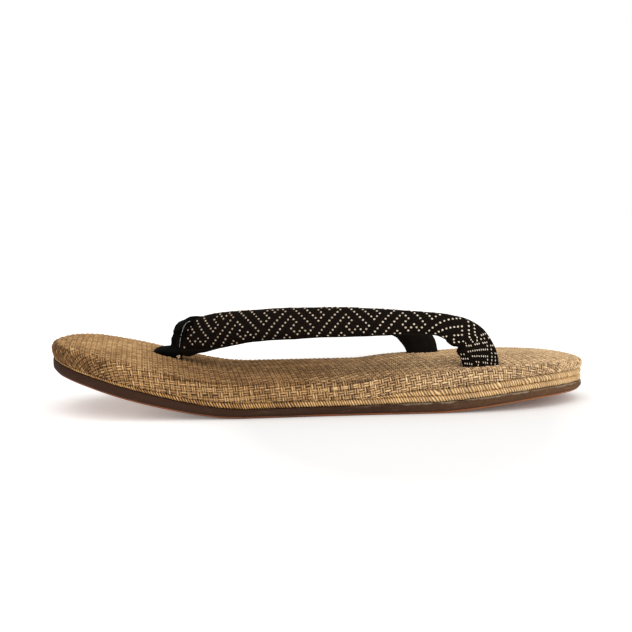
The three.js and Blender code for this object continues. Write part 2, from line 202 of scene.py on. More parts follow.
def half_width(x):
    x = np.asarray(x, float)
    toe = np.clip((TOE_ROUND - HALF - x) / TOE_ROUND, 0, 1)
    heel = np.clip((x - HALF + HEEL_ROUND) / HEEL_ROUND, 0, 1)
    ends = (1 - toe**TOE_POWER) ** (1 / TOE_POWER) * (1 - heel**HEEL_POWER) ** (1 / HEEL_POWER)
    return column(HALF_WIDTHS, 1, x) * ends


def rim_points(count):
    """The outline of the sole, evenly spaced, from the toe along the outer side and back."""
    x = -HALF * np.cos(np.linspace(0, math.pi, 4001))
    y = -half_width(x)
    run = np.concatenate([[0], np.cumsum(np.hypot(np.diff(x), np.diff(y)))])
    at = np.linspace(0, run[-1], count // 2 + 1)
    outer = np.stack([np.interp(at, run, x), np.interp(at, run, y)], 1)
    outer[[0, -1], 1] = 0
    inner = outer[1:-1][::-1] * (1, -1)
    return np.concatenate([outer, inner])


def inward(p, inset, share=1.0):
    """Rim points moved in by a distance, or shrunk by a share, towards the middle line."""
    spine = np.clip(p[:, 0], TOE_SPINE, HEEL_SPINE)
    reach = np.hypot(p[:, 0] - spine, p[:, 1])
    keep = (reach - inset) / reach * share
    return np.stack([spine + (p[:, 0] - spine) * keep, p[:, 1] * keep], 1)


def under(x):
    return column(STATIONS, RISE, x)


def rubber_top(x):
    return under(x) + column(STATIONS, RUBBER, x)


def lower_rope_top(x):
    return rubber_top(x) + GAP + column(STATIONS, LOWER, x)


def upper_rope_height(x):
    return np.where(np.asarray(x) < UPPER_ROPE_START, 0, column(STATIONS, UPPER, x))


def ropes_top(x):
    height = upper_rope_height(x)
    return lower_rope_top(x) + height + GAP * np.minimum(1, height)


def side_at(x, part):
    return ropes_top(x) + GAP + column(STATIONS, SIDE, x) * part


# ---------------------------------------------------------------- making pieces
def smooth_step(low, high, at):
    t = np.clip((at - low) / (high - low), 0, 1)
    return t * t * (3 - 2 * t)


def hump(away, width):
    """A smooth bump, 1 at the middle."""
    return np.exp(-((away / width) ** 2))


def wobble(points, scale, seed=0.0):
    """Smooth noise between about -1 and 1 at each point, the same on each run."""
    shift = Vector((seed * 17.3, seed * 5.1, seed * 9.7))
    return np.array([noise.noise(Vector(p) * scale + shift) for p in np.asarray(points, float)])


def grid_faces(rows, columns, closed_rows=False, closed_columns=True, start=0):
    """Quads between rings, each ring holding so many points."""
    r = np.arange(rows if closed_rows else rows - 1)
    c = np.arange(columns if closed_columns else columns - 1)
    r, c = [g.ravel() for g in np.meshgrid(r, c, indexing="ij")]
    r2, c2 = (r + 1) % rows, (c + 1) % columns
    return start + np.stack(
        [r * columns + c, r * columns + c2, r2 * columns + c2, r2 * columns + c], 1
    )


def stacked_rings(rings):
    """Faces of a closed body made of rings of the sole's outline, with a strip of quads across the
    first and the last."""
    count = len(rings[0])
    faces = grid_faces(len(rings), count).tolist()
    for ring, flip in ((0, True), (len(rings) - 1, False)):
        start = ring * count
        cap = [(start, start + 1, start + count - 1)]
        cap += [
            (start + k, start + k + 1, start + count - k - 1, start + count - k)
            for k in range(1, count // 2 - 1)
        ]
        cap.append((start + count // 2 - 1, start + count // 2, start + count // 2 + 1))
        faces += [f[::-1] for f in cap] if flip else cap
    return faces


def end_faces(rows, columns):
    """One face at each end of a tube of rings."""
    last = (rows - 1) * columns
    return [list(range(columns))[::-1], list(range(last, last + columns))]


def make_piece(name, points, faces, materials, uv=None, tone=None, face_material=None):
    """A smooth mesh piece from points in millimetres, riding on the sandal."""
    mesh = bpy.data.meshes.new(name)
    mesh.from_pydata((np.asarray(points) * MM).tolist(), [], [list(f) for f in faces])
    mesh.validate()
    mesh.polygons.foreach_set("use_smooth", [True] * len(mesh.polygons))
    corners = np.zeros(len(mesh.loops), np.int64)
    mesh.loops.foreach_get("vertex_index", corners)
    if uv is not None:
        layer = mesh.uv_layers.new(name="Weave")
        layer.data.foreach_set("uv", np.asarray(uv)[corners].ravel())
    if tone is not None:
        layer = mesh.attributes.new("tone", "FLOAT", "POINT")
        layer.data.foreach_set("value", np.asarray(tone, float))
    for material in materials:
        mesh.materials.append(material)
    if face_material is not None:
        mesh.polygons.foreach_set("material_index", np.asarray(face_material, np.int32))
    mesh.update()
    piece = add_object(name, mesh)
    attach(piece, "root")
    return piece


# ---------------------------------------------------------------- materials
class Nodes:
    """A short way to write a node tree."""

    def __init__(self, name, **settings):
        self.material = bpy.data.materials.new(name)
        self.material.use_nodes = True
        self.tree = self.material.node_tree
        self.shader = self.tree.nodes["Principled BSDF"]
        for socket, value in settings.items():
            self.shader.inputs[socket.replace("_", " ")].default_value = value

    def add(self, kind, links=None, **settings):
        node = self.tree.nodes.new(kind)
        for key, value in settings.items():
            setattr(node, key, value)
        for socket, value in (links or {}).items():
            if hasattr(value, "is_output"):
                self.tree.links.new(value, node.inputs[socket])
            else:
                node.inputs[socket].default_value = value
        return node

    def where(self):
        return self.add("ShaderNodeTexCoord").outputs["Object"]

    def along(self):
        """The place from toe to heel, in metres."""
        return self.add("ShaderNodeSeparateXYZ", {0: self.where()}).outputs["X"]

    def tone(self):
        """The lightness that the mesh carries at each point."""
        return self.add("ShaderNodeAttribute", attribute_name="tone").outputs["Fac"]

    def cells(self, scale):
        links = {"Vector": self.where(), "Scale": scale}
        return self.add("ShaderNodeTexVoronoi", links).outputs["Distance"]

    def uv(self, scale=(1, 1, 1)):
        weave = self.add("ShaderNodeUVMap", uv_map="Weave").outputs[0]
        return self.add("ShaderNodeMapping", {"Vector": weave, "Scale": scale}).outputs[0]

    def stretched(self, scale):
        return self.add("ShaderNodeMapping", {"Vector": self.where(), "Scale": scale}).outputs[0]

    def noise(self, vector, scale, detail=3.0, rough=0.5):
        links = {"Vector": vector, "Scale": scale, "Detail": detail, "Roughness": rough}
        return self.add("ShaderNodeTexNoise", links).outputs["Fac"]

    def math(self, operation, a, b=0.0):
        return self.add("ShaderNodeMath", {0: a, 1: b}, operation=operation).outputs[0]

    def spread(self, value, low, high, to_low=0.0, to_high=1.0):
        links = {0: value, 1: low, 2: high, 3: to_low, 4: to_high}
        return self.add("ShaderNodeMapRange", links).outputs[0]

    def ramp(self, value, stops):
        node = self.add("ShaderNodeValToRGB", {"Fac": value})
        ramp = node.color_ramp
        while len(ramp.elements) < len(stops):
            ramp.elements.new(0.5)
        for element, (place, colour) in zip(ramp.elements, stops):
            element.position = place
            element.color = (*colour, 1)
        return node.outputs[0]

    def mix(self, factor, a, b):
        links = {"Factor": factor, 6: a, 7: b}
        return self.add("ShaderNodeMix", links, data_type="RGBA").outputs[2]

    def colour(self, value):
        self.tree.links.new(value, self.shader.inputs["Base Color"])

    def roughness(self, value):
        self.tree.links.new(value, self.shader.inputs["Roughness"])

    def bump(self, height, distance, strength=1.0, before=None):
        links = {"Height": height, "Distance": distance, "Strength": strength}
        if before is not None:
            links["Normal"] = before
        made = self.add("ShaderNodeBump", links).outputs[0]
        self.tree.links.new(made, self.shader.inputs["Normal"])
        return made


def srgb(*channels):
    """A colour given from 0 to 255, as the shaders take it."""

    def linear(c):
        return c / 255 / 12.92 if c <= 10 else ((c / 255 + 0.055) / 1.055) ** 2.4

    return tuple(linear(c) for c in channels)


def rgba(*channels):
    return (*srgb(*channels), 1)


def fibre_material(name, fibres, patches, stops, heel, rough, bump, **settings):
    """Plant fibre, from dark to light stops by the mesh's tone, and paler towards the heel.

    fibres is (scale along and across, strength) of the streaks, patches is (scale, detail,
    roughness, lowest value, strength) of the slow changes, and heel is (start, end, share, colour).
    """
    m = Nodes(name, Sheen_Weight=0.03, **settings)
    streaks = m.noise(m.uv((*fibres[0], 1)), 1.0, 3, 0.6)
    value = m.math("ADD", m.tone(), m.spread(streaks, 0.3, 0.7, -fibres[1], fibres[1]))
    scale, detail, roughness, low, strength = patches
    slow = m.noise(m.where(), scale, detail, roughness)
    value = m.math("ADD", value, m.spread(slow, low, 1 - low, -strength, strength))
    start, end, share, pale = heel
    towards = m.spread(m.along(), start, end, 0.0, share)
    m.colour(m.mix(towards, m.ramp(value, stops), pale))
    m.roughness(m.spread(streaks, 0.3, 0.7, *rough))
    m.bump(streaks, 0.00012, bump)
    return m.material


def backing_material():
    m = Nodes("jute_backing", Roughness=0.95, Specular_IOR_Level=0.2)
    speck = m.noise(m.where(), 900, 3)
    m.colour(m.ramp(speck, [(0.3, srgb(34, 22, 12)), (0.7, srgb(66, 46, 28))]))
    m.bump(speck, 0.0002)
    return m.material


def foam_material():
    m = Nodes("midsole_foam", Roughness=0.82, Specular_IOR_Level=0.15)
    place = m.along()
    worn = m.noise(m.stretched((1, 1, 4)), 38, 6, 0.65)
    fine = m.noise(m.where(), 900, 4, 0.6)
    pores = m.cells(1500.0)
    heel = m.spread(m.math("ADD", place, m.spread(worn, 0.3, 0.7, -0.02, 0.02)), 0.03, 0.125)
    colour = m.mix(heel, rgba(56, 34, 21), rgba(102, 73, 50))
    scuffs = m.spread(m.noise(m.stretched((1, 1, 7)), 120, 5, 0.7), 0.56, 0.72)
    scuffs = m.math("MULTIPLY", scuffs, m.spread(place, -0.06, 0.1, 0.1, 0.5))
    colour = m.mix(scuffs, colour, rgba(128, 106, 84))
    colour = m.mix(m.spread(fine, 0.35, 0.65, 0.0, 0.35), colour, rgba(30, 19, 12))
    # dried glue along the top edge, mostly under the heel half
    edge = m.tone()
    ragged = m.math("MULTIPLY", m.noise(m.stretched((1, 1, 0.4)), 150, 4, 0.65), 0.6)
    ragged = m.math("ADD", ragged, m.math("MULTIPLY", edge, 0.7))
    long_gaps = m.spread(m.noise(m.stretched((1, 0.2, 0.2)), 45, 2), 0.3, 0.45, 0.25, 1.0)
    glue = m.math("MULTIPLY", m.spread(ragged, 0.92, 0.98), m.spread(place, 0.01, 0.06, 0.0, 0.7))
    glue = m.math("MULTIPLY", glue, long_gaps)
    m.colour(m.mix(glue, colour, rgba(146, 130, 110)))
    m.roughness(m.spread(worn, 0.3, 0.7, 0.7, 0.92))
    first = m.bump(fine, 0.00015, 0.7)
    m.bump(pores, 0.00008, 0.5, first)
    return m.material


def rubber_material():
    m = Nodes("outsole_rubber", Roughness=0.62, Specular_IOR_Level=0.5)
    place = m.along()
    smear = m.noise(m.stretched((1, 1, 6)), 45, 5, 0.6)
    pebble = m.cells(700.0)
    colour = m.mix(m.spread(smear, 0.3, 0.7), rgba(76, 38, 18), rgba(140, 80, 40))
    # painted highlight: the rubber turns paler and more orange towards the heel
    colour = m.mix(m.spread(place, -0.02, 0.10, 0.0, 0.6), colour, rgba(164, 102, 54))
    m.colour(colour)
    m.roughness(m.spread(smear, 0.3, 0.7, 0.5, 0.75))
    m.bump(pebble, 0.0002, 0.5)
    return m.material


def woven_black(name, base, fleck, fleck_share, pitch):
    """Black cotton: a fine plain weave from the UV map, which is in millimetres."""
    m = Nodes(name, Roughness=0.88, Sheen_Weight=0.01, Sheen_Roughness=0.4, Specular_IOR_Level=0.05)
    m.shader.inputs["Sheen Tint"].default_value = (0.75, 0.78, 0.85, 1)
    turns = math.pi / pitch
    weave = m.add("ShaderNodeSeparateXYZ", {0: m.uv()})
    u = m.math("SINE", m.math("MULTIPLY", weave.outputs["X"], turns))
    v = m.math("SINE", m.math("MULTIPLY", weave.outputs["Y"], turns))
    over = m.math("MULTIPLY", u, v)
    flecks = m.noise(m.uv((1.0 / pitch, 1.0 / pitch, 1)), 0.8, 2, 0.6)
    cloudy = m.noise(m.where(), 60, 4, 0.6)
    colour = m.mix(m.spread(flecks, 0.52, 0.72, 0.0, fleck_share), base, fleck)
    dusty = tuple(c * 1.6 + 0.001 for c in base[:3]) + (1,)
    m.colour(m.mix(m.spread(cloudy, 0.35, 0.75, 0.0, 0.6), colour, dusty))
    m.roughness(m.spread(cloudy, 0.3, 0.7, 0.72, 0.9))
    first = m.bump(over, 0.00006, 0.8)
    m.bump(cloudy, 0.0004, 0.35, first)
    return m.material


def thread_material(name, colour, dark):
    m = Nodes(name, Roughness=0.75, Sheen_Weight=0.2, Specular_IOR_Level=0.35)
    tone = m.tone()
    twist = m.noise(m.where(), 2600, 2)
    value = m.math("ADD", tone, m.spread(twist, 0.3, 0.7, -0.2, 0.2))
    m.colour(m.ramp(value, [(0.0, dark), (1.0, colour)]))
    m.roughness(m.spread(twist, 0.3, 0.7, 0.65, 0.85))
    m.bump(twist, 0.0001, 0.8)
    return m.material


JUTE = fibre_material(
    "jute_weave",
    fibres=((0.35, 5.0), 0.16),
    patches=(55, 4, 0.6, 0.25, 0.1),
    stops=[
        (0.0, srgb(44, 26, 10)),
        (0.3, srgb(108, 74, 38)),
        (0.55, srgb(164, 125, 80)),
        (0.8, srgb(204, 165, 114)),
        (1.0, srgb(232, 200, 152)),
    ],
    heel=(-0.01, 0.11, 0.3, rgba(226, 198, 162)),
    rough=(0.78, 0.94),
    bump=0.9,
    Sheen_Roughness=0.5,
    Specular_IOR_Level=0.2,
)
BACKING = backing_material()
STRAW = fibre_material(
    "straw_twist",
    fibres=((0.5, 9.0), 0.18),
    patches=(70, 3, 0.5, 0.3, 0.1),
    stops=[
        (0.0, srgb(54, 28, 10)),
        (0.28, srgb(124, 78, 32)),
        (0.55, srgb(196, 148, 84)),
        (0.8, srgb(230, 188, 122)),
        (1.0, srgb(248, 220, 168)),
    ],
    heel=(-0.03, 0.12, 0.28, rgba(240, 212, 168)),
    rough=(0.42, 0.62),
    bump=0.8,
    Specular_IOR_Level=0.35,
)
FOAM = foam_material()
SHEET_RUBBER = rubber_material()
STRAP_CLOTH = woven_black("strap_cloth", rgba(8, 6, 4), rgba(74, 42, 24), 0.5, 0.42)
LINING = woven_black("strap_lining", rgba(21, 18, 14), rgba(36, 31, 24), 0.5, 0.3)
HOOD_CLOTH = woven_black("thong_cloth", rgba(5, 5, 4), rgba(20, 21, 18), 0.4, 0.34)
STITCH = thread_material("cream_stitch", srgb(238, 228, 206), srgb(150, 128, 104))
PIPING = thread_material("grey_piping", srgb(176, 172, 164), srgb(96, 92, 86))
KNOT = thread_material("beige_knot", srgb(206, 178, 142), srgb(120, 92, 62))

rng = np.random.default_rng(20)


# ---------------------------------------------------------------- the rubber and the foam
CAP_SHARES = (0.12, 0.4, 0.7, 0.9)


def ring_body(name, node, profile, material, relief=None, edge=None):
    """A layer of the sole. Its profile is rings of (inset from the rim, height by x), closed by
    shrinking rings below and above. edge is the tone of each ring of the profile."""
    rows = [(*profile[0], share) for share in CAP_SHARES]
    rows += [(inset, z, 1.0) for inset, z in profile]
    rows += [(*profile[-1], share) for share in CAP_SHARES[::-1]]
    rings = []
    for inset, z, share in rows:
        q = inward(FINE_RIM, inset, share)
        rings.append(np.column_stack([q, z(q[:, 0])]))
    points = np.concatenate(rings)
    faces = stacked_rings(rings)
    if relief is not None:
        points = relief(points)
    tone = None
    if edge is not None:
        caps = [0.0] * len(CAP_SHARES)
        tone = np.repeat(caps + list(edge) + caps, len(FINE_RIM))
    piece = make_piece(name, points, faces, [material], None, tone)
    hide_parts(node)


FINE_RIM = rim_points(480)


def foam_relief(points):
    """Shallow dents and a ragged cut along the foam's side."""
    low = wobble(points, 0.09, 1) * 0.14 + wobble(points, 0.35, 2) * 0.06
    spine = np.clip(points[:, 0], TOE_SPINE, HEEL_SPINE)
    middle = np.stack([spine, np.zeros(len(points))], 1)
    out = points[:, :2] - middle
    size = np.maximum(np.hypot(out[:, 0], out[:, 1]), 1e-6)[:, None]
    moved = points.copy()
    moved[:, :2] += out / size * (low - 0.12)[:, None]
    return moved


ring_body(
    "outsole_sheet",
    "outsole",
    [
        (2.4, under),
        (1.75, lambda x: under(x) + 0.04),
        (1.35, lambda x: under(x) + 0.35),
        (1.15, lambda x: under(x) + 0.65),
        (1.25, lambda x: under(x) + OUTSOLE),
    ],
    SHEET_RUBBER,
)

ring_body(
    "midsole_layer",
    "midsole",
    [
        (1.2, lambda x: under(x) + OUTSOLE + 0.12),
        (0.45, lambda x: under(x) + OUTSOLE + 0.3),
        (0.12, lambda x: under(x) + OUTSOLE + 0.85),
        (0.05, lambda x: under(x) * 0.6 + rubber_top(x) * 0.4 + 0.4),
        (0.05, lambda x: under(x) * 0.35 + rubber_top(x) * 0.65),
        (0.15, lambda x: rubber_top(x) - 0.7),
        (0.45, lambda x: rubber_top(x) - 0.22),
        (1.3, lambda x: rubber_top(x) - 0.02),
    ],
    FOAM,
    foam_relief,
    (0, 0, 0.05, 0.3, 0.55, 0.9, 1.0, 1.0),
)


# ---------------------------------------------------------------- the straw ropes
def twisted_rope(name, node, path, low, high, lead, seed, closed):
    """A rope of straw strands laid round an oval section between two heights. lead is the length of
    one turn of the twist."""
    strands, around = 3, 30
    count = len(path)
    step = np.hypot(*(path - np.roll(path, 1, axis=0)).T)
    step[0] = 0 if not closed else step[0]
    run = np.cumsum(step)
    angle = 2 * math.pi * np.arange(count) / count
    turns = 2 * math.pi * run / lead
    if closed:
        turns = round(turns[-1] / (2 * math.pi)) * angle
    # the twist is looser in some places than in others, and comes round to where it began
    looseness = ((5, 1.3), (11, 0.9), (19, 0.55), (37, 0.3), (83, 0.16))
    loose = sum(size * np.sin(k * angle + seed * k) for k, size in looseness)
    phase = turns + loose
    swell = 1 + 0.05 * np.sin(angle * 61 + seed) + 0.04 * np.sin(angle * 97)
    theta = 2 * math.pi * np.arange(around) / around
    twist = (theta[None] + phase[:, None]) * strands / 2
    lobe = np.abs(np.sin(twist)) ** 0.6
    deep = (0.72 + 0.28 * lobe) * swell[:, None]
    inset = 0.35 + ROPE_DEPTH / 2 * (1 - np.cos(theta)[None] * deep)
    spread = np.repeat(path, around, 0)
    x, y = inward(spread, inset.ravel()).T
    bottom, top = low(x), high(x)
    half = (top - bottom) / 2 + 0.1
    z = (bottom + top) / 2 + half * (np.sin(theta)[None] * deep).ravel()
    own = np.floor(np.mod(twist / math.pi, strands))
    # painted shade and highlight: the grooves between the strands are darkened and the crowns
    # lightened by lobe; each strand also has a tone of its own, the rope is darker towards the toe,
    # and it varies slowly along its length
    tone = -0.4 + 1.2 * lobe**1.6 + (own - 1) * 0.06
    tone = tone - 0.1 * smooth_step(40, -40, path[:, 0])[:, None]
    tone = tone + 0.07 * np.sin(angle * 29 + seed)[:, None]
    uv = np.stack([np.repeat(run[:, None], around, 1), twist / math.pi], -1).reshape(-1, 2)
    faces = grid_faces(count, around, closed_rows=closed).tolist()
    if not closed:
        faces += end_faces(count, around)
    points = np.column_stack([x, y, z])
    rope = make_piece(name, points, faces, [STRAW], uv, tone.ravel())
    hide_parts(node)


def lower_low(x):
    return rubber_top(x) + 0.06


def lower_high(x):
    return lower_rope_top(x) + 0.1


ROPE_RIM = rim_points(2100)
twisted_rope("lower_rope_twist", "lower_rope", ROPE_RIM, lower_low, lower_high, 3.7, 1.0, True)
upper_path = ROPE_RIM[ROPE_RIM[:, 0] > UPPER_ROPE_START - 1]


def upper_low(x):
    return lower_rope_top(x) + GAP * np.minimum(1, upper_rope_height(x)) - 0.12


def upper_high(x):
    return np.maximum(upper_low(x) + 0.5, lower_rope_top(x) + GAP + upper_rope_height(x) + 0.1)


twisted_rope("upper_rope_twist", "upper_rope", upper_path, upper_low, upper_high, 4.3, 2.3, False)

# ---------------------------------------------------------------- the footbed's woven cover
# the wall of the cover, from the fold down: how far in from the rim, and its share of the height
WALL_INSET = np.array([3.4, 2.6, 1.75, 0.95, 0.4, 0.1, 0.0, 0.05, 0.2, 0.55, 1.1])
WALL_PART = np.array([1.0, 0.985, 0.945, 0.87, 0.76, 0.62, 0.46, 0.28, 0.12, 0.02, 0.0])
FOLD_SHARE = 0.925
# where the straps and the post go in: x, y, half length, half width
STRAP_HOLES = [(76.5, -30.3, 8.3, 3.5), (55.0, 30.4, 7.7, 3.5), (-68.5, 0.0, 2.4, 2.2)]


def end_reach(spine, sign):
    """How far the rim lies from an end of the spine, by the angle off the middle line."""
    x = np.linspace(sign * HALF, spine, 1500)
    y = half_width(x)
    angle = np.arctan2(y, np.abs(x - spine))
    return angle, np.hypot(x - spine, y)


TOE_REACH = end_reach(TOE_SPINE, -1)
HEEL_REACH = end_reach(HEEL_SPINE, 1)


def rim_reach(u, v):
    spine = np.clip(u, TOE_SPINE, HEEL_SPINE)
    angle = np.arctan2(np.abs(v), np.abs(u - spine))
    ends = np.where(u < spine, np.interp(angle, *TOE_REACH), np.interp(angle, *HEEL_REACH))
    return spine, np.where(u == spine, half_width(spine), ends)


WALL_DENSE = np.linspace(0, 1, 160)
WALL_RUN_X = np.interp(WALL_DENSE, np.linspace(0, 1, len(WALL_INSET)), WALL_INSET)
WALL_RUN_Z = np.interp(WALL_DENSE, np.linspace(0, 1, len(WALL_PART)), WALL_PART)


def wall_run(side):
    """Length along the cover from the fold to each point of the wall, for a height of side."""
    step = np.hypot(np.diff(WALL_RUN_X), np.diff(WALL_RUN_Z) * side)
    return np.concatenate([[0], np.cumsum(step)])


SIDE_HEIGHTS = np.linspace(3.5, 9.5, 13)
WALL_RUNS = np.array([wall_run(s) for s in SIDE_HEIGHTS])


def dimple(x, y):
    """The cover sinks a little where the straps and the post go through it."""
    sink = np.zeros(np.shape(x))
    for cx, cy, long, wide in STRAP_HOLES:
        ring = np.hypot((x - cx) / (long + 1.5), (y - cy) / (wide + 1.5))
        sink += 0.09 * (long + wide) * hump(ring - 0.9, 0.22)
    return sink


def on_cover(u, v):
    """Where a point of the flat cloth lies on the footbed, and how far down the wall it is."""
    spine, rim = rim_reach(u, v)
    reach = np.maximum(np.hypot(u - spine, v), 1e-9)
    across = np.stack([(u - spine) / reach, v / reach], -1)
    past = np.maximum(reach - (rim - FOLD), 0)
    first_x = spine + across[..., 0] * np.minimum(reach, rim)
    side = column(STATIONS, SIDE, first_x)
    place = np.clip((side - SIDE_HEIGHTS[0]) / (SIDE_HEIGHTS[1] - SIDE_HEIGHTS[0]), 0, 11.999)
    row = place.astype(int)
    part = place - row
    inset, height = np.zeros(np.shape(u)), np.zeros(np.shape(u))
    for k in range(12):
        here = row == k
        if not here.any():
            continue
        blend = part[here][:, None]
        near = np.array([np.interp(past[here], WALL_RUNS[j], WALL_DENSE) for j in (k, k + 1)]).T
        at = near[:, 0] * (1 - blend[:, 0]) + near[:, 1] * blend[:, 0]
        inset[here] = np.interp(at, WALL_DENSE, WALL_RUN_X)
        height[here] = np.interp(at, WALL_DENSE, WALL_RUN_Z)
    flat = past <= 0
    out = np.where(flat, reach, rim - inset)
    xy = np.stack([spine, np.zeros(np.shape(u))], -1) + across * out[..., None]
    x = xy[..., 0]
    share = np.clip(out / rim, 0, 1)
    crown = column(STATIONS, CROWN, x)
    top = side_at(x, 1) + crown * (1 - np.minimum(share, FOLD_SHARE) ** 2)
    folded = side_at(x, height) + crown * (1 - FOLD_SHARE**2) * smooth_step(0.7, 1, height)
    z = np.where(flat, top, folded) - np.where(flat, dimple(x, xy[..., 1]), 0)
    length = np.array([np.interp(side, SIDE_HEIGHTS, WALL_RUNS[:, -1])]).reshape(np.shape(u))
    return np.concatenate([xy, z[..., None]], -1), past - length


def cover_normal(u, v):
    near = 0.15
    du = on_cover(u + near, v)[0] - on_cover(u - near, v)[0]
    dv = on_cover(u, v + near)[0] - on_cover(u, v - near)[0]
    n = np.cross(du, dv)
    return n / np.maximum(np.linalg.norm(n, axis=-1), 1e-9)[..., None]


def footbed_core():
    """The padded body under the cover: an even net of rings from the underside to the crown."""
    rim = FINE_RIM
    rings = []
    hidden = ((12, rubber_top), (ROPE_DEPTH + 0.9, rubber_top), (ROPE_DEPTH + 0.7, ropes_top))
    for inset, z in hidden:
        q = inward(rim, inset)
        rings.append(np.column_stack([q, z(q[:, 0]) + 0.25]))
    under_rope = inward(rim, 1.6)
    rings.append(np.column_stack([under_rope, ropes_top(under_rope[:, 0]) + 0.3]))
    depth = 0.34
    for at in np.linspace(1, 0, 22):
        inset = np.interp(at, WALL_DENSE, WALL_RUN_X) + depth
        part = np.interp(at, WALL_DENSE, WALL_RUN_Z)
        q = inward(rim, inset)
        x = q[:, 0]
        rise = column(STATIONS, CROWN, x) * (1 - FOLD_SHARE**2)
        z = side_at(x, part) + rise * smooth_step(0.7, 1, part)
        rings.append(np.column_stack([q, np.maximum(z - depth * part, ropes_top(x) + 0.25)]))
    edge = inward(rim, FOLD)
    for share in np.linspace(0.98, 0.03, 34):
        q = inward(edge, 0, share)
        spine = np.clip(rim[:, 0], TOE_SPINE, HEEL_SPINE)
        whole = np.hypot(rim[:, 0] - spine, rim[:, 1])
        part = np.hypot(q[:, 0] - spine, q[:, 1]) / whole
        x = q[:, 0]
        z = side_at(x, 1) + column(STATIONS, CROWN, x) * (1 - part**2) - depth
        rings.append(np.column_stack([q, z - dimple(x, q[:, 1])]))
    faces = stacked_rings(rings)
    core = make_piece("footbed_padding", np.concatenate(rings), faces, [BACKING])
    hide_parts("footbed")


footbed_core()

PITCH = 1.2  # from one thread to the next
# how far the flat cloth reaches from its middle, so that it covers the walls when turned
REACH_ACROSS = 47 + 18
REACH_ALONG = HALF + 9


def in_hole(points):
    """Whether points lie where a strap or the post goes through the cover."""
    inside = np.zeros(len(points), bool)
    for cx, cy, long, wide in STRAP_HOLES:
        ring = np.abs((points[:, 0] - cx) / long) ** 2.3 + np.abs((points[:, 1] - cy) / wide) ** 2.3
        inside |= (ring < 0.8) & (points[:, 2] > 10)
    return inside


CLOTH_TURN = math.radians(7)  # the cloth lies a little askew on the sandal
TUCK = 0.15  # how far past the wall's lower edge the threads run


def turned(u, v):
    """From the cloth's own directions to the sandal's."""
    c, s = math.cos(CLOTH_TURN), math.sin(CLOTH_TURN)
    return u * c - v * s, u * s + v * c


